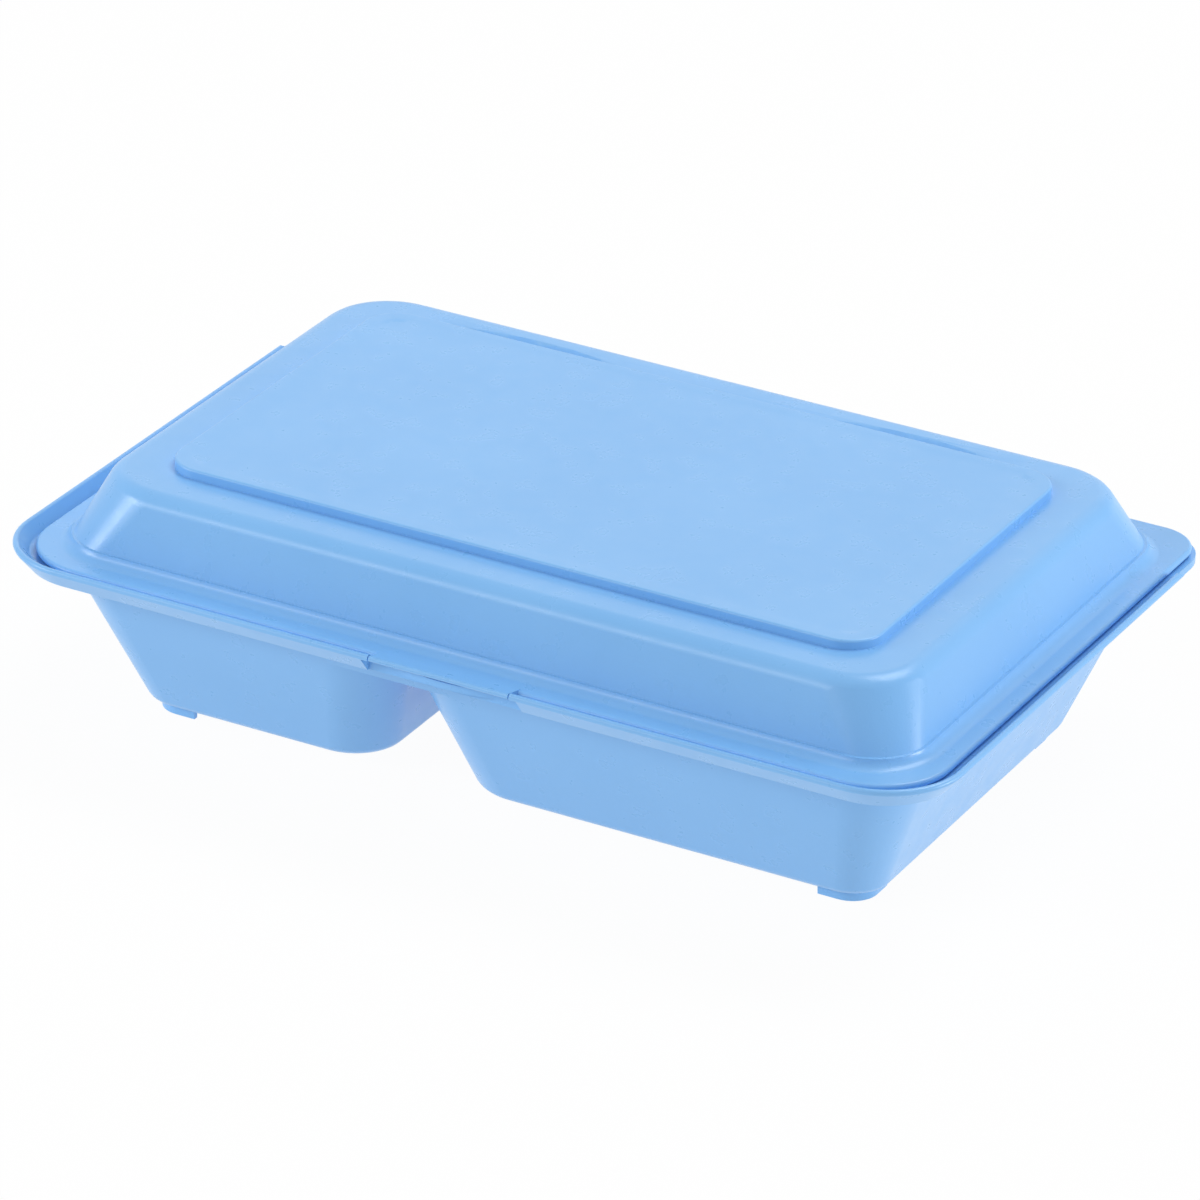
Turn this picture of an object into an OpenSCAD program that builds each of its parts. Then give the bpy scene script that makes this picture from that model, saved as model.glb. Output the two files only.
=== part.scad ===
// Reusable meal container: a tray with two compartments and a hinged lid.
// Each of the two pieces is one moulding. +X is the length, the latch is at -Y,
// the hinge at +Y, and the feet stand on z = 0.

/* [Rim] */
// Length over the upturned lips
rim_l = 240; // [220:1:260]
// Depth from the front lip to the back of the hinge clips
rim_w = 163.5; // [150:0.5:180]
// Plan radius of the lip's corners
rim_r = 20.2; // [18:0.1:24]
// Thickness of the flange
flange_t = 1.8; // [1.4:0.1:2.4]
// Height of the lip above the flange's underside
lip_h = 5.3; // [4.5:0.1:6]
// How far the lip leans out from its foot to its top
lip_lean = 3.5; // [2:0.1:4]
// Thickness of the lip
lip_t = 1.6; // [1.2:0.1:2]
// Radius of the gutter between lip and flange
gutter_r = 1.6; // [1:0.1:2]
// Where the side lips start to drop towards the flange, behind the middle
lip_end_y = 50; // [40:1:54]
// Radius of the lips' dropping ends
lip_end_r = 8.5; // [7:0.1:9]
// How far the round of the dropping ends stands above the lip's top
lip_end_rise = 0.6; // [0.4:0.1:1]
// Plan radius of the flange's rear corners
flange_rear_r = 11; // [9:0.5:16]

/* [Tubs] */
// Outer height of the tubs, from the floor's underside to the flange's underside
tub_h = 38.6; // [30:0.1:45]
// Outer length over both floors
floor_l = 190; // [180:0.2:196]
// Outer width of the floors
floor_w = 106; // [96:0.2:112]
// Plan radius of the floors' outer corners
floor_r = 9; // [8:0.5:14]
// Plan radius of the floors' corners at the tunnel
tunnel_r = 12.5; // [10:0.5:16]
// Outer length of the tubs under the flange
mouth_l = 218.8; // [212:0.2:222]
// Outer width of the tubs under the flange
mouth_w = 142.4; // [136:0.2:146]
// Plan radius of the tubs' corners under the flange
mouth_r = 16; // [14:0.5:20]
// Rounding of the edge between floor and wall
floor_edge_r = 2.2; // [1.5:0.1:3]
// Thickness of the walls, measured level
wall_t = 2; // [1.6:0.1:2.6]
// Thickness of the floors
floor_t = 1.8; // [1.4:0.1:2.4]
// Outer length of the small tub's floor
small_floor_l = 63.5; // [50:0.1:75]
// Gap between the two floors
tunnel_floor_gap = 22.3; // [20:0.1:28]
// Gap between the tubs at the tunnel's roof
tunnel_roof_gap = 4; // [3:0.5:8]
// Height of the tunnel's roof above the floors' underside
tunnel_h = 31.5; // [26:0.5:33]
// How deep the compartments round where floor meets wall
dish_r = 4; // [3:0.5:5]

/* [Feet] */
// Height of the feet below the floors
foot_h = 2.4; // [2:0.1:4]
// Thickness of the feet
foot_t = 1.8; // [1.4:0.1:2.4]
// How far the feet stand inside the floors' outline
foot_inset = 2.1; // [1:0.1:3]
// How far the feet narrow towards the ground
foot_taper = 0.3; // [0:0.1:0.6]

/* [Lid] */
// Gap between the flange and the lid's brim
lid_gap = 0.4; // [0.3:0.1:0.8]
// Thickness of the lid
lid_t = 1.8; // [1.4:0.1:2.4]
// Distance of the brim's edge inside the outline of the lips
brim_in = 4.5; // [4.3:0.1:6]
// Plan radius of the brim's front corners
brim_r = 18; // [15:0.5:20]
// Plan radius of the brim's rear corners
brim_rear_r = 10; // [8:0.5:14]
// Length of the ledge at the lid wall's foot
ledge_l = 217; // [212:0.5:220]
// Width of the ledge at the lid wall's foot
ledge_w = 140; // [136:0.5:143]
// Plan radius of the ledge's corners
ledge_r = 14; // [12:0.5:18]
// Height of the ledge above the brim
ledge_h = 2.2; // [1.2:0.1:2.5]
// Level width of the ledge
ledge_step = 0.6; // [0.4:0.1:1]
// Radius of the hollow between brim and ledge
cove_r = 3.2; // [2.6:0.1:3.4]
// Length of the deck, where the shoulder's round begins
deck_l = 198; // [194:0.5:204]
// Width of the deck
deck_w = 121; // [117:0.5:125]
// Plan radius of the deck's corners
deck_r = 13; // [11:0.5:16]
// Height of the deck above the brim
deck_h = 16.9; // [14:0.1:20]
// Radius of the shoulder
shoulder_r = 5; // [4:0.5:9]
// Length of the raised panel
panel_l = 180.2; // [176:0.2:184]
// Width of the raised panel
panel_w = 103.2; // [100:0.2:106]
// Plan radius of the panel's corners
panel_r = 9; // [7:0.5:12]
// Height of the panel above the deck
panel_h = 2.3; // [1.6:0.1:3]
// Rounding of the panel's top edge
panel_edge_r = 0.6; // [0.4:0.1:0.8]
// Width of the flat border round the panel
border_w = 3.2; // [2.4:0.1:4]
// Width of the slope between the border and the panel's middle
border_slope = 2; // [1:0.1:2.6]
// How much the panel's middle lies below its border
border_h = 0.2; // [0.1:0.05:0.3]
// Distance of the two rear pockets from the middle
pocket_x = 49.3; // [44:0.5:54]
// Length of a pocket
pocket_l = 54; // [40:0.5:60]
// Width of a pocket behind the panel
pocket_w = 6.6; // [5:0.2:7]
// Depth of a pocket below the deck
pocket_d = 2.2; // [1.4:0.1:2.6]

/* [Latch] */
// Width of the thumb tab
tab_w = 35.4; // [28:0.2:40]
// Thickness of the tab's front edge
tab_t = 1.2; // [1:0.1:1.6]
// How much thicker the tab is at its root
tab_root = 0.7; // [0.5:0.1:0.9]
// Reach of the bend at the tab's root, to either side of the brim's edge
tab_bend = 0.4; // [0.3:0.1:0.5]
// How much the tab rises above the brim
tab_rise = 1.2; // [0.8:0.1:1.4]
// Gap between the tab and the lip on each side
tab_gap = 0.3; // [0.3:0.1:1]
// Width of the cut under the tab, through the lip's lower band
latch_w = 39.4; // [36:0.2:46]
// Depth of the cut, from the front of the lip
latch_d = 4.1; // [3.8:0.1:4.2]
// Width of the catch that the tab snaps over
catch_w = 27; // [18:0.2:30]
// How far the catch swells forward
catch_out = 2; // [1.5:0.1:2.4]
// Height of the catch
catch_h = 1.6; // [1.2:0.1:1.6]
// How far the catch's underside lies below the flange's top
catch_low = 0.6; // [0.6:0.1:1.2]

/* [Hinge] */
// Distance of the two hinges from the middle
hinge_x = 49; // [40:1:60]
// Radius of the hinge pins
pin_r = 1.4; // [1.2:0.1:1.6]
// Running gap between pin and clip
pin_gap = 0.08; // [0.05:0.01:0.1]
// Thickness of the clips
clip_t = 1.5; // [1.2:0.1:1.7]
// Width of a clip
clip_w = 14; // [10:0.5:18]
// Angle of the clip's open mouth
clip_mouth = 110; // [90:5:130]
// Thickness of the ears that hold a pin
ear_t = 3; // [2.4:0.1:4]
// Gap between a clip and an ear
ear_gap = 0.4; // [0.3:0.1:0.8]
// Clear space round the parts that swing
swing_gap = 0.5; // [0.4:0.1:0.8]
// How much smaller the round of an ear is than that of a clip
ear_less = 0.3; // [0.2:0.1:0.5]
// How far the ears and the clips' arms reach in from the notch
arm_root = 2; // [1.5:0.1:3]

/* [Hidden] */
$fn = 96;
hull_fn = 64;
slab = 0.01;
join = 0.5;
edge_step = 22.5;
shoulder_start = 20;
shoulder_step = 14;
sky = "#84BBF0";

// Heights above the ground
floor_z = foot_h;
roof_z = floor_z + tunnel_h;
flange_z = floor_z + tub_h;
flange_top = flange_z + flange_t;
brim_z = flange_top + lid_gap;
brim_top = brim_z + lid_t;
ledge_z = brim_top + ledge_h;
deck_z = brim_top + deck_h;
panel_z = deck_z + panel_h;
lip_top = flange_z + lip_h;

// Places along the length
small_in_x = -floor_l / 2 + small_floor_l;
large_in_x = small_in_x + tunnel_floor_gap;
tunnel_mid = (small_in_x + large_in_x) / 2;
flank_lean = (tunnel_floor_gap - tunnel_roof_gap) / 2 / tunnel_h;

// Rim corners, shared by the lip's sweep and the flange
rim_cx = rim_l / 2 - rim_r;
rim_cy = rim_w / 2 - rim_r;
flange_r = rim_r - lip_lean;
flange_band = 6;

// The brim keeps its distance from the lips
brim_l = rim_l - 2 * brim_in;
brim_w = rim_w - 2 * brim_in;
brim_band = 5;

// Hinge axis
clip_r = pin_r + pin_gap + clip_t;
hinge_y = rim_w / 2 - clip_r;
hinge_z = brim_z + lid_t / 2;
ear_r = clip_r - ear_less;
ear_span = clip_w + 2 * ear_gap;
notch_y = hinge_y - clip_r - swing_gap;

// Share of the way up the tub walls at a height
function rise(z) = (z - floor_z) / tub_h;

function mix(a, b, t) = a + (b - a) * t;

// Outer half sizes and corner radius of the tubs at a height
function half_l(z) = mix(floor_l, mouth_l, rise(z)) / 2;

function half_w(z) = mix(floor_w, mouth_w, rise(z)) / 2;

function corner_r(z) = mix(floor_r, mouth_r, rise(z));

function tunnel_corner(z) = mix(tunnel_r, mouth_r, rise(z));

// Inner end of the small tub and of the large tub at a height
function small_in(z) = small_in_x + flank_lean * (z - floor_z);

function large_in(z) = large_in_x - flank_lean * (z - floor_z);

// Rectangle with front corners of radius r and rear corners of radius q
module rounded(half_x, half_y, r, q) {
  translate([r - half_x, -half_y]) square([2 * half_x - 2 * r, half_y]);
  translate([q - half_x, 0]) square([2 * half_x - 2 * q, half_y]);
  translate([-half_x, r - half_y]) square([2 * half_x, 2 * half_y - r - q]);
  for (x = [r - half_x, half_x - r]) translate([x, r - half_y]) circle(r);
  for (x = [q - half_x, half_x - q]) translate([x, half_y - q]) circle(q);
}

// Corners of a thin level slice at a height, pulled in all round; a hull fills it.
// Its corners have radius r at the end x0 and radius q at the end x1
module slice(x0, x1, half_y, r, q, z, pull = 0) {
  left_r = max(r - pull, 1);
  right_r = max(q - pull, 1);
  translate([0, 0, z])
    linear_extrude(slab)
      for (s = [-1, 1]) {
        translate([x0 + pull + left_r, s * (half_y - pull - left_r)]) circle(left_r, $fn = hull_fn);
        translate([x1 - pull - right_r, s * (half_y - pull - right_r)]) circle(right_r, $fn = hull_fn);
      }
}

// One drafted tub from z0 to z1 with a rounded bottom edge
module tub(z0, z1, inset, edge, small) {
  hull() {
    for (a = [0 : edge_step : 90]) {
      z = z0 + edge * (1 - cos(a));
      tub_slice(z, inset + edge * (1 - sin(a)), small);
    }
    tub_slice(z1 - slab, inset, small);
  }
}

module tub_slice(z, pull, small) {
  if (small) slice(-half_l(z), small_in(z), half_w(z), corner_r(z), tunnel_corner(z), z, pull);
  else slice(large_in(z), half_l(z), half_w(z), tunnel_corner(z), corner_r(z), z, pull);
}

// The part of the tray above the tunnel, over its whole length
module upper(z0, z1, inset) {
  hull() {
    for (z = [z0, z1 - slab]) slice(-half_l(z), half_l(z), half_w(z), corner_r(z), corner_r(z), z, inset);
  }
}

// Radius and height of the rounded ridge on top of the divider
ridge_half = tunnel_roof_gap / 2 + wall_t;
ridge_r = ridge_half * cos(atan(flank_lean));
ridge_z = roof_z + floor_t - ridge_r * sin(atan(flank_lean));

module compartments() {
  split_z = roof_z + floor_t;
  tub(floor_z + floor_t, split_z + slab, wall_t, dish_r, true);
  tub(floor_z + floor_t, split_z + slab, wall_t, dish_r, false);
  upper(split_z, flange_top + join, wall_t);
}

module divider_ridge() {
  ridge_w = 2 * half_w(ridge_z) - wall_t;
  translate([tunnel_mid, 0, 0])
    intersection() {
      translate([0, ridge_w / 2, ridge_z]) rotate([90, 0, 0]) cylinder(r = ridge_r, h = ridge_w);
      translate([-ridge_half, -ridge_w / 2, roof_z]) cube([2 * ridge_half, ridge_w, 2 * ridge_r]);
    }
}

// Section of the lip: x is the distance from the corner's centre, y the height
module lip_section() {
  lean = atan(lip_lean / (lip_h - lip_t / 2));
  top_x = rim_r - lip_t / 2;
  top_y = lip_h - lip_t / 2;
  foot_x = flange_r - lip_t / 2;
  difference() {
    union() {
      translate([top_x, top_y]) circle(d = lip_t);
      polygon([
        [foot_x - flange_t, 0],
        [flange_r, 0],
        [top_x + lip_t / 2 * cos(lean), top_y - lip_t / 2 * sin(lean)],
        [top_x - lip_t / 2 * cos(lean), top_y + lip_t / 2 * sin(lean)],
        [foot_x - gutter_r - flange_t, flange_t]
      ]);
      translate([flange_r - flange_band, 0]) square([flange_band, flange_t]);
    }
    gutter_cut(lean, top_x, top_y);
  }
}

// Hollow inside the lip, tangent to the flange and to the lip's inner face
module gutter_cut(lean, top_x, top_y) {
  inner_x = top_x - lip_t / 2 * cos(lean);
  inner_y = top_y + lip_t / 2 * sin(lean);
  run = inner_y - flange_t - gutter_r;
  cx = inner_x - run * tan(lean) - gutter_r / cos(lean);
  translate([cx, flange_t + gutter_r]) circle(gutter_r);
  polygon([
    [cx, flange_t],
    [cx - lip_h * 2, flange_t],
    [cx - lip_h * 2, lip_h + join],
    [inner_x, lip_h + join],
    [inner_x, inner_y],
    [cx + gutter_r * cos(lean), flange_t + gutter_r - gutter_r * sin(lean)],
    [cx, flange_t + gutter_r]
  ]);
}

// Lip swept along the front and both sides
module lip() {
  translate([0, 0, flange_z]) {
    translate([-rim_cx, -rim_cy, 0]) rotate([90, 0, 90]) linear_extrude(2 * rim_cx) mirror([1, 0]) lip_section();
    for (side = [0, 1]) {
      mirror([side, 0, 0]) {
        translate([rim_cx, -rim_cy, 0]) rotate([0, 0, -90]) rotate_extrude(angle = 90) lip_section();
        translate([rim_cx, rim_cy, 0]) rotate([90, 0, 0]) linear_extrude(2 * rim_cy) lip_section();
      }
    }
  }
}

// Space that the lip may fill: it stops short of the rear corners with rounded ends
module lip_reach() {
  translate([-rim_l, -rim_w, 0]) cube([2 * rim_l, rim_w + lip_end_y, lip_top + join]);
  translate([-rim_l, lip_end_y, lip_top + lip_end_rise - lip_end_r]) rotate([0, 90, 0]) cylinder(r = lip_end_r, h = 2 * rim_l);
}

module flange() {
  translate([0, 0, flange_z])
    linear_extrude(flange_t)
      rounded(rim_l / 2 - lip_lean, rim_w / 2 - lip_lean, flange_r, flange_rear_r);
}

// Opening in the lip for the thumb tab, wider below it
module latch_opening() {
  cut_z = brim_top + tab_rise - tab_t;
  tab_open = tab_w + 2 * tab_gap;
  front = -rim_w / 2 - join;
  translate([-latch_w / 2, front, flange_z - join]) cube([latch_w, latch_d + join, cut_z - flange_z + join]);
  translate([-tab_open / 2, front, cut_z - join]) cube([tab_open, latch_d + join, lip_h]);
}

// Crescent under the tab that the lid snaps over, rooted in the flange's front edge
module latch_catch() {
  back_y = -rim_w / 2 + latch_d;
  low_z = flange_top - catch_low;
  swell_r = (pow(catch_w / 2, 2) + pow(catch_out, 2)) / (2 * catch_out);
  difference() {
    intersection() {
      translate([0, back_y - catch_out + swell_r, low_z]) cylinder(r = swell_r, h = catch_h);
      translate([-latch_w / 2, back_y - catch_out - join, low_z - join])
        cube([latch_w, catch_out + 2 * join, catch_h + 2 * join]);
    }
    translate([-latch_w / 2, back_y, flange_top]) cube([latch_w, 2 * join, catch_h]);
  }
}

// Quarter ring under each outer corner of the floors
module feet() {
  out_r = floor_r - foot_inset;
  for (sx = [0, 1], sy = [0, 1]) {
    mirror([sx, 0, 0])
      mirror([0, sy, 0])
        translate([floor_l / 2 - floor_r, floor_w / 2 - floor_r, 0])
          rotate_extrude(angle = 90)
            polygon([
              [out_r - foot_taper, 0],
              [out_r, foot_h + join],
              [out_r - foot_t, foot_h + join],
              [out_r - foot_t + foot_taper, 0]
            ]);
  }
}

// Profile of an ear in the plane across the hinge: x is depth, y is height
module ear_profile() {
  translate([hinge_y, hinge_z]) circle(ear_r);
  polygon([
    [notch_y - arm_root, flange_z],
    [hinge_y + ear_r / 2, flange_z],
    [hinge_y + ear_r, hinge_z],
    [hinge_y - ear_r, hinge_z],
    [hinge_y - ear_r, flange_top],
    [notch_y - arm_root, flange_top]
  ]);
}

// Two ears and the pin between them
module hinge_pin() {
  for (x = [-ear_span / 2 - ear_t, ear_span / 2])
    translate([x, 0, 0]) rotate([90, 0, 90]) linear_extrude(ear_t) ear_profile();
  translate([-ear_span / 2 - join, hinge_y, hinge_z]) rotate([0, 90, 0]) cylinder(r = pin_r, h = ear_span + 2 * join);
}

module base_tray() {
  color(sky) {
    difference() {
      union() {
        tub(floor_z, roof_z, 0, floor_edge_r, true);
        tub(floor_z, roof_z, 0, floor_edge_r, false);
        upper(roof_z, flange_z + join, 0);
        flange();
        intersection() {
          lip();
          lip_reach();
        }
      }
      compartments();
      latch_opening();
      for (s = [-1, 1])
        translate([s * hinge_x - ear_span / 2, notch_y, flange_z - join]) cube([ear_span, rim_w, lip_h]);
    }
    divider_ridge();
    latch_catch();
    feet();
    for (s = [-1, 1]) translate([s * hinge_x, 0, 0]) hinge_pin();
  }
}

// Level slices of the lid's walls and shoulder, pulled in by the wall's thickness
module lid_shell(pull, z_low) {
  wall_top = deck_z - shoulder_r;
  hull() {
    lid_slice(ledge_l - 2 * ledge_step, ledge_w - 2 * ledge_step, ledge_r - ledge_step, z_low, pull);
    for (a = [shoulder_start : shoulder_step : 90]) {
      out = shoulder_r * cos(a);
      z = wall_top + shoulder_r * sin(a) - pull * sin(a);
      lid_slice(deck_l + 2 * out, deck_w + 2 * out, deck_r + out, z - slab, pull * cos(a));
    }
  }
}

module lid_slice(l, w, r, z, pull) {
  slice(-l / 2, l / 2, w / 2, r, r, z, pull);
}

// Sweeps a section round a rectangle with front corners of radius r and rear corners
// of radius q; the section's x is the distance outside the rectangle, y the height
module swept(l, w, r, q) {
  for (side = [0, 1]) {
    mirror([side, 0, 0]) {
      translate([l / 2 - r, r - w / 2, 0])
        rotate([0, 0, -90]) rotate_extrude(angle = 90) translate([r, 0]) children();
      translate([l / 2 - q, w / 2 - q, 0]) rotate_extrude(angle = 90) translate([q, 0]) children();
      translate([l / 2, w / 2 - q, 0]) rotate([90, 0, 0]) linear_extrude(w - r - q) children();
    }
  }
  translate([r - l / 2, -w / 2, 0])
    rotate([90, 0, 90]) linear_extrude(l - 2 * r) mirror([1, 0]) children();
  translate([q - l / 2, w / 2, 0]) rotate([90, 0, 90]) linear_extrude(l - 2 * q) children();
}

// Brim plate with a round edge
module brim() {
  half_t = lid_t / 2;
  plate_in = brim_band / 2;
  translate([0, 0, brim_z]) {
    linear_extrude(lid_t)
      rounded(brim_l / 2 - plate_in, brim_w / 2 - plate_in, brim_r - plate_in, brim_rear_r - plate_in);
    swept(brim_l, brim_w, brim_r, brim_rear_r) {
      translate([-brim_band, 0]) square([brim_band - half_t, lid_t]);
      translate([-half_t, half_t]) circle(half_t);
    }
  }
}

// Step at the foot of the walls, with the hollow that runs into the brim
module cove() {
  translate([0, 0, brim_top])
    swept(ledge_l, ledge_w, ledge_r, ledge_r)
      difference() {
        translate([-ledge_r, -lid_t / 2]) square([ledge_r + cove_r, ledge_h + lid_t / 2]);
        translate([cove_r, cove_r]) circle(cove_r);
      }
}

// Sweeps a section round a rectangle with equal corners; the section's x is the
// distance from a corner's centre and its y is the height
module ring(l, w, r) {
  cx = l / 2 - r;
  cy = w / 2 - r;
  for (sx = [0, 1], sy = [0, 1]) {
    mirror([sx, 0, 0]) mirror([0, sy, 0]) translate([cx, cy, 0]) rotate_extrude(angle = 90) children();
  }
  for (s = [0, 1]) {
    mirror([s, 0, 0]) translate([cx, cy, 0]) rotate([90, 0, 0]) linear_extrude(2 * cy) children();
    mirror([0, s, 0]) translate([-cx, cy, 0]) rotate([90, 0, 90]) linear_extrude(2 * cx) children();
  }
}

// Raised panel: a wall, a border with a rounded edge, and a slightly sunk middle that a
// gentle slope leads to
module panel() {
  middle_top = panel_h - border_h;
  slope_x = panel_r - border_w;
  translate([0, 0, deck_z]) {
    ring(panel_l, panel_w, panel_r) {
      translate([panel_r - lid_t, -lid_t / 2]) square([lid_t, panel_h + lid_t / 2 - panel_edge_r]);
      translate([panel_r - panel_edge_r, panel_h - panel_edge_r]) circle(panel_edge_r);
      polygon([
        [0, middle_top],
        [slope_x - border_slope, middle_top],
        [slope_x, panel_h],
        [panel_r - panel_edge_r, panel_h],
        [panel_r - panel_edge_r, panel_h - lid_t],
        [slope_x, panel_h - lid_t],
        [slope_x - border_slope, middle_top - lid_t],
        [0, middle_top - lid_t]
      ]);
    }
    translate([panel_r - panel_l / 2, panel_r - panel_w / 2, middle_top - lid_t])
      cube([panel_l - 2 * panel_r, panel_w - 2 * panel_r, lid_t]);
  }
}

// Opening in the deck under the panel
module panel_opening() {
  low_z = deck_z - 2 * lid_t - pocket_d;
  translate([0, 0, low_z])
    linear_extrude(deck_z + lid_t - low_z)
      rounded(panel_l / 2 - lid_t, panel_w / 2 - lid_t, panel_r - lid_t, panel_r - lid_t);
}

// Radius across a pocket's middle, and of its bottom along its length
trough_r = (pow(pocket_w, 2) + pow(pocket_d, 2)) / (2 * pocket_d);
bow_r = (pow(pocket_l / 2, 2) + pow(pocket_d, 2)) / (2 * pocket_d);

// The two boat-shaped scoops behind the panel, between two heights and from a depth
// backwards; grow gives the skin round them
module scoops(y0, z0, z1, grow = 0) {
  for (side = [-1, 1]) {
    intersection() {
      translate([side * pocket_x, panel_w / 2, deck_z - pocket_d + trough_r])
        rotate([0, 90, 0])
          rotate_extrude()
            intersection() {
              translate([trough_r - bow_r, 0]) circle(bow_r + grow, $fn = 720);
              translate([0, -pocket_l]) square([trough_r + grow, 2 * pocket_l]);
            }
      translate([side * pocket_x - pocket_l, y0, z0]) cube([2 * pocket_l, 2 * pocket_w, z1 - z0]);
    }
  }
}

// Section of the thumb tab across its width: x is depth from the front, y is height
module tab_section() {
  edge = brim_w / 2;
  back = edge - lid_t;
  front = rim_w / 2 - tab_t / 2;
  top = brim_top + tab_rise;
  translate([front, top - tab_t / 2]) circle(d = tab_t);
  polygon([
    [back, brim_z],
    [edge - tab_bend, brim_z],
    [edge + tab_bend, top - tab_t - tab_root],
    [front, top - tab_t],
    [front, top],
    [back, brim_top]
  ]);
}

module thumb_tab() {
  translate([-tab_w / 2, 0, 0]) rotate([90, 0, 90]) linear_extrude(tab_w) mirror([1, 0]) tab_section();
}

// Clip that wraps a hinge pin, with its mouth downwards, and the arm to the brim
module clip_profile() {
  difference() {
    union() {
      translate([hinge_y, hinge_z]) circle(clip_r);
      translate([notch_y - arm_root, brim_z]) square([hinge_y - notch_y + arm_root, lid_t]);
    }
    translate([hinge_y, hinge_z]) circle(pin_r + pin_gap);
    translate([hinge_y, hinge_z])
      polygon([
        [0, 0],
        [2 * clip_r * sin(clip_mouth / 2), -2 * clip_r * cos(clip_mouth / 2)],
        [-2 * clip_r * sin(clip_mouth / 2), -2 * clip_r * cos(clip_mouth / 2)]
      ]);
  }
}

module lid() {
  ear_room = ear_span + 2 * ear_t + 2 * ear_gap;
  color(sky) {
    difference() {
      union() {
        difference() {
          union() {
            brim();
            cove();
            lid_shell(0, ledge_z - slab);
          }
          lid_shell(lid_t, brim_z - join);
          for (s = [-1, 1])
            translate([s * hinge_x - ear_room / 2, notch_y - swing_gap, brim_z - join]) cube([ear_room, rim_w, lip_h]);
        }
        scoops(panel_w / 2 - 2 * lid_t, deck_z - 2 * pocket_d - lid_t, deck_z - lid_t / 2, lid_t);
      }
      scoops(panel_w / 2, deck_z - 2 * pocket_d, deck_z + join);
      panel_opening();
    }
    panel();
    thumb_tab();
    for (s = [-1, 1])
      translate([s * hinge_x - clip_w / 2, 0, 0]) rotate([90, 0, 90]) linear_extrude(clip_w) clip_profile();
  }
}

base_tray();
lid();
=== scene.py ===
from math import radians

import bmesh
import bpy
from mathutils import Matrix, Vector


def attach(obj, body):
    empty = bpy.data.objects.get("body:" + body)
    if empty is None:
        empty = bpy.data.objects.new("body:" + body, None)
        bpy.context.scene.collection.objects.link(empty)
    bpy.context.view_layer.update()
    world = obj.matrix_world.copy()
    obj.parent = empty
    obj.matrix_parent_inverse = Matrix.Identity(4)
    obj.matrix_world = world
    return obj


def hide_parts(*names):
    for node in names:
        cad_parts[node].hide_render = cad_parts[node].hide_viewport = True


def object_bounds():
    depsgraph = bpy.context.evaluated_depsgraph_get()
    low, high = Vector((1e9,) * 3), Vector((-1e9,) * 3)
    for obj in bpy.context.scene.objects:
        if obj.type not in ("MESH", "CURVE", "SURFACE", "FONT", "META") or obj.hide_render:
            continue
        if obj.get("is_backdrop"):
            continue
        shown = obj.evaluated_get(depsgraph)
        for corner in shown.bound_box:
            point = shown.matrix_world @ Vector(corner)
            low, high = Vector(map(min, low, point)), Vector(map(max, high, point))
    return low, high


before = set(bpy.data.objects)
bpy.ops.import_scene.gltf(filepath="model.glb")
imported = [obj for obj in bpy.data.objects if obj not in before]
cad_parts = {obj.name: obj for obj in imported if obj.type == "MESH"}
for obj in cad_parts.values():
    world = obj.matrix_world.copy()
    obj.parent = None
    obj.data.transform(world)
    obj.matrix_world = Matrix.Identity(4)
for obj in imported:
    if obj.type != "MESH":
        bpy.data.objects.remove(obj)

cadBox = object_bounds()
scene = bpy.context.scene
scene.view_settings.view_transform = "Standard"
print("frame loaded:", sorted(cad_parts))


# Camera

view = {
    "azimuth": 27.333,       # degrees round from the front, towards the right
    "elevation": 26.18,
    "roll": 1.997,
    "distance": 1.7341,
    "target": (-0.00197, -0.00071, 0.03055),
    "lens": 224.94,          # mm
    "sensor": 36,            # mm
}


def makeCamera(v):
    data = bpy.data.cameras.new("camera")
    data.lens = v["lens"]
    data.sensor_width = v["sensor"]
    data.clip_end = 20
    camera = bpy.data.objects.new("camera", data)
    scene.collection.objects.link(camera)
    around = Matrix.Rotation(radians(v["azimuth"]), 4, "Z")
    turn = around @ Matrix.Rotation(radians(90 - v["elevation"]), 4, "X")
    place = Vector(v["target"]) + turn @ Vector((0, 0, v["distance"]))
    camera.matrix_world = Matrix.Translation(place) @ turn @ Matrix.Rotation(radians(v["roll"]), 4, "Z")
    scene.camera = camera


makeCamera(view)


# Node helpers

def addNode(tree, kind, inputs=None, **settings):
    node = tree.nodes.new("ShaderNode" + kind)
    for name, value in settings.items():
        setattr(node, name, value)
    for key, value in (inputs or {}).items():
        if isinstance(value, bpy.types.NodeSocket):
            tree.links.new(value, node.inputs[key])
        else:
            node.inputs[key].default_value = value
    return node


def newMaterial(name):
    material = bpy.data.materials.new(name)
    material.use_nodes = True
    material.node_tree.nodes.clear()
    return material, material.node_tree


def objectCoords(tree):
    return addNode(tree, "TexCoord").outputs["Object"]


def noise(tree, coords, scale, detail=3.0, rough=0.5):
    made = addNode(tree, "TexNoise", {"Vector": coords, "Scale": scale, "Detail": detail, "Roughness": rough})
    return made.outputs["Fac"]


def spread(tree, value, low, high, fromLow=0.3, fromHigh=0.7):
    made = addNode(tree, "MapRange", {"Value": value, "From Min": fromLow, "From Max": fromHigh,
                                      "To Min": low, "To Max": high})
    return made.outputs["Result"]


# sRGB bytes to the linear colour that a shader takes
def linear(red, green, blue):
    parts = [c / 255 for c in (red, green, blue)]
    return tuple(c / 12.92 if c <= 0.04045 else ((c + 0.055) / 1.055) ** 2.4 for c in parts) + (1.0,)


# Sky-blue moulded polypropylene

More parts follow.
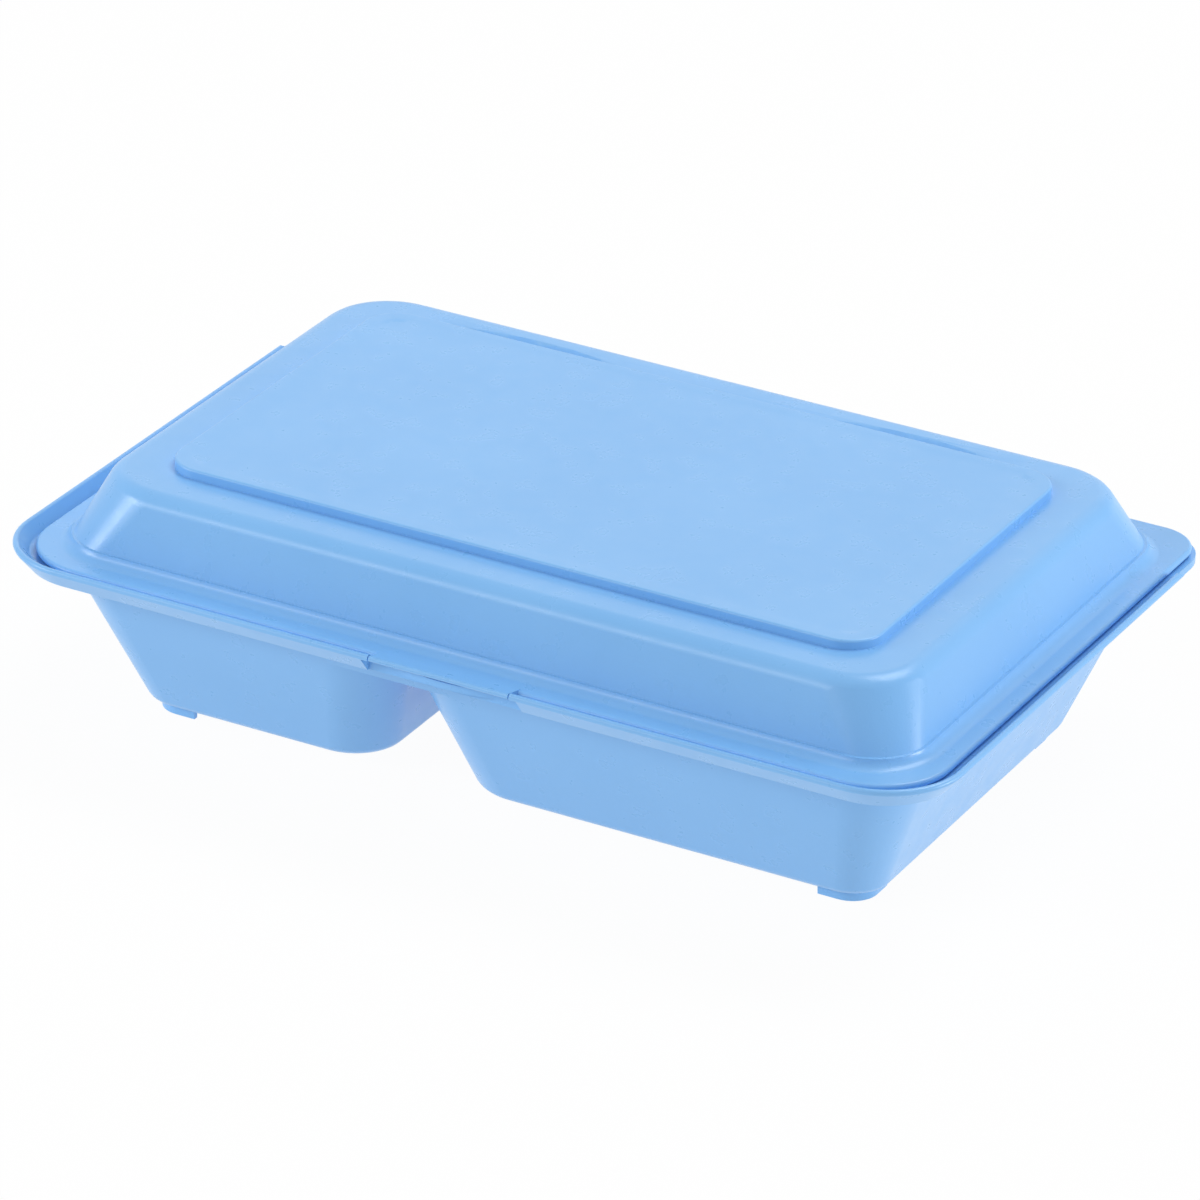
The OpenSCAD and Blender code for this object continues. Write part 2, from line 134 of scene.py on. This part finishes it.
plastic = {
    "colour": linear(122, 181, 236),
    "paler": linear(127, 185, 239),     # slow clouding in the moulding
    "cloudScale": 22,                   # per metre
    "patchScale": 198,                  # per metre: duller and shinier patches
    "roughness": 0.3,
    "roughnessSwing": 0.04,
    "grainScale": 1900,                 # per metre: about half a millimetre
    "grainDepth": 0.00002,
    "smoothAbove": (0.0615, 0.0630),    # the raised panel is polished: its grain fades over this height
    "smoothGrain": 0.1,
    "ior": 1.49,
}


# One moulding's finish; grain is how strongly its skin is textured
def plasticMaterial(name, p, grain):
    material, tree = newMaterial(name)
    coords = objectCoords(tree)
    clouds = noise(tree, coords, p["cloudScale"], 2)
    colour = addNode(tree, "Mix", {"Factor": spread(tree, clouds, 0, 1), 6: p["colour"], 7: p["paler"]},
                     data_type="RGBA")
    patches = noise(tree, coords, p["patchScale"], 4)
    middle, swing = p["roughness"], p["roughnessSwing"]
    roughness = spread(tree, patches, middle - swing, middle + swing)
    height = addNode(tree, "SeparateXYZ", {"Vector": coords}).outputs["Z"]
    low, high = p["smoothAbove"]
    strength = spread(tree, height, grain, p["smoothGrain"], low, high)
    grains = noise(tree, coords, p["grainScale"], 2, 0.6)
    bump = addNode(tree, "Bump", {"Height": grains, "Strength": strength, "Distance": p["grainDepth"]})
    shader = addNode(tree, "BsdfPrincipled", {
        "Base Color": colour.outputs[2], "Roughness": roughness, "Normal": bump.outputs["Normal"],
        "IOR": p["ior"],
    })
    addNode(tree, "OutputMaterial", {"Surface": shader.outputs["BSDF"]})
    return material


# The two mouldings, each a merged and smoothed copy of its solid

pieces = {
    "tray": {"node": "base_tray", "body": "tray", "name": "tray_moulding", "grain": 0.15},
    "lid": {"node": "lid", "body": "lid", "name": "lid_moulding", "grain": 1.0},
}
mergeDistance = 0.000002
sharpAngle = radians(35)
shadingWeight = 60


def moulding(p):
    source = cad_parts[p["node"]]
    mesh = source.data.copy()
    mesh.name = p["name"]
    piece = bpy.data.objects.new(p["name"], mesh)
    scene.collection.objects.link(piece)
    if "custom_normal" in mesh.attributes:
        mesh.attributes.remove(mesh.attributes["custom_normal"])
    bm = bmesh.new()
    bm.from_mesh(mesh)
    bmesh.ops.remove_doubles(bm, verts=bm.verts, dist=mergeDistance)
    bmesh.ops.dissolve_degenerate(bm, edges=bm.edges, dist=mergeDistance)
    for face in bm.faces:
        face.smooth = True
    for edge in bm.edges:
        edge.smooth = len(edge.link_faces) == 2 and edge.calc_face_angle(0) < sharpAngle
    bm.to_mesh(mesh)
    bm.free()
    weighted = piece.modifiers.new("even shading", "WEIGHTED_NORMAL")
    weighted.keep_sharp = True
    weighted.weight = shadingWeight
    mesh.materials.clear()
    mesh.materials.append(plasticMaterial(p["name"] + "_plastic", plastic, p["grain"]))
    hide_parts(p["node"])
    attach(piece, p["body"])
    print("made", p["name"], len(mesh.polygons), "faces")
    return piece


made = {key: moulding(p) for key, p in pieces.items()}

for key, p in pieces.items():
    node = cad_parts[p["node"]]
    node.data.materials.clear()
    node.data.materials.append(made[key].data.materials[0])


# Straight ends of the four curved feet

feet = {
    "centre": (0.086, 0.044),    # of a foot's arc, from the middle
    "radius": 0.0069,            # to the arc's outer face
    "length": 0.005,
    "thick": 0.0018,
    "height": 0.0028,            # a little of it inside the floor
    "taper": 0.0003,
    "lap": 0.00005,
}


# One straight end: along is the way it runs and outward the way its outer face looks
def footEnd(bm, f, start, along, outward):
    bar = bmesh.ops.create_cube(bm, size=1)["verts"]
    for vert in bar:
        low = vert.co.z < 0
        run = (vert.co.x + 0.5) * (f["length"] + f["lap"]) - f["lap"]
        depth = (vert.co.y - 0.5) * f["thick"]
        if low:
            depth += f["taper"] if vert.co.y < 0 else -f["taper"]
        vert.co = start + along * run + outward * depth + Vector((0, 0, 0 if low else f["height"]))


def makeFeet(f):
    bm = bmesh.new()
    for right in (-1, 1):
        for back in (-1, 1):
            centre = Vector((right * f["centre"][0], back * f["centre"][1], 0))
            alongX, alongY = Vector((right, 0, 0)), Vector((0, back, 0))
            footEnd(bm, f, centre + alongY * f["radius"], -alongX, alongY)
            footEnd(bm, f, centre + alongX * f["radius"], -alongY, alongX)
    bmesh.ops.recalc_face_normals(bm, faces=bm.faces)
    mesh = bpy.data.meshes.new("foot_ends")
    bm.to_mesh(mesh)
    bm.free()
    piece = bpy.data.objects.new("foot_ends", mesh)
    scene.collection.objects.link(piece)
    mesh.materials.append(made["tray"].data.materials[0])
    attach(piece, pieces["tray"]["body"])
    print("made", piece.name, len(mesh.polygons), "faces")


makeFeet(feet)


# Floor, background and light

studio = {
    "floorReach": 12,         # from the middle to each edge
    "floorColour": (0.9, 0.9, 0.9, 1),
    "floorGlow": 0.96,        # share of plain white in the floor where it is seen or mirrored
    "floorBounce": 0.7,       # share of plain white that lights the container from below
    "worldStrength": 0.4,
    "lamps": {
        "back": {"place": (-1.3, 2.6, 1.4), "size": (3.0, 0.9), "power": 4},
        "above": {"place": (0.5, 0.85, 1.85), "size": (1.1, 1.0), "power": 20},
        "front_left": {"place": (-1.0, -1.95, 1.4), "size": (1.8, 0.5), "power": 13},
        "right": {"place": (2.14, 0.75, 0.24), "size": (0.9, 0.4), "power": 19},
        "left": {"place": (-0.85, -0.6, 0.4), "size": (0.35, 0.3), "power": 3.1},
    },
}


# Rays that show the white ground: the camera's own, and those bent or mirrored on the way
def whiteRays(tree):
    path = addNode(tree, "LightPath")
    camera, bent, mirrored = [path.outputs[f"Is {kind} Ray"] for kind in ("Camera", "Transmission", "Glossy")]
    direct = addNode(tree, "Math", {0: camera, 1: bent}, operation="MAXIMUM")
    return addNode(tree, "Math", {0: direct.outputs[0], 1: mirrored}, operation="MAXIMUM").outputs[0]


def makeFloor(s):
    bm = bmesh.new()
    bmesh.ops.create_grid(bm, x_segments=1, y_segments=1, size=s["floorReach"])
    mesh = bpy.data.meshes.new("floor")
    bm.to_mesh(mesh)
    bm.free()
    floor = bpy.data.objects.new("floor", mesh)
    scene.collection.objects.link(floor)
    material, tree = newMaterial("floor_paper")
    seen = whiteRays(tree)
    share = spread(tree, seen, s["floorBounce"], s["floorGlow"], 0, 1)
    paper = addNode(tree, "BsdfDiffuse", {"Color": s["floorColour"]})
    glow = addNode(tree, "Emission", {"Color": (1, 1, 1, 1), "Strength": 1.0})
    mixed = addNode(tree, "MixShader", {0: share, 1: paper.outputs[0], 2: glow.outputs[0]})
    addNode(tree, "OutputMaterial", {"Surface": mixed.outputs[0]})
    mesh.materials.append(material)
    floor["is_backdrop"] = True


def makeWorld(s):
    world = bpy.data.worlds.new("studio")
    scene.world = world
    world.use_nodes = True
    tree = world.node_tree
    tree.nodes.clear()
    seen = whiteRays(tree)
    strength = spread(tree, seen, s["worldStrength"], 1, 0, 1)
    back = addNode(tree, "Background", {"Color": (1, 1, 1, 1), "Strength": strength})
    addNode(tree, "OutputWorld", {"Surface": back.outputs[0]})


def makeLamp(name, lamp):
    data = bpy.data.lights.new(name, "AREA")
    data.shape = "RECTANGLE"
    data.size, data.size_y = lamp["size"]
    data.energy = lamp["power"]
    light = bpy.data.objects.new(name, data)
    scene.collection.objects.link(light)
    light.location = lamp["place"]
    aim = Vector(view["target"]) - Vector(lamp["place"])
    light.rotation_euler = aim.to_track_quat("-Z", "Y").to_euler()


makeFloor(studio)
makeWorld(studio)
for name, lamp in studio["lamps"].items():
    makeLamp(name, lamp)
print("studio ready")

boxes = {"cad": cadBox, "visual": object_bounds()}
boxes = {name: [list(map(float, corner)) for corner in box] for name, box in boxes.items()}
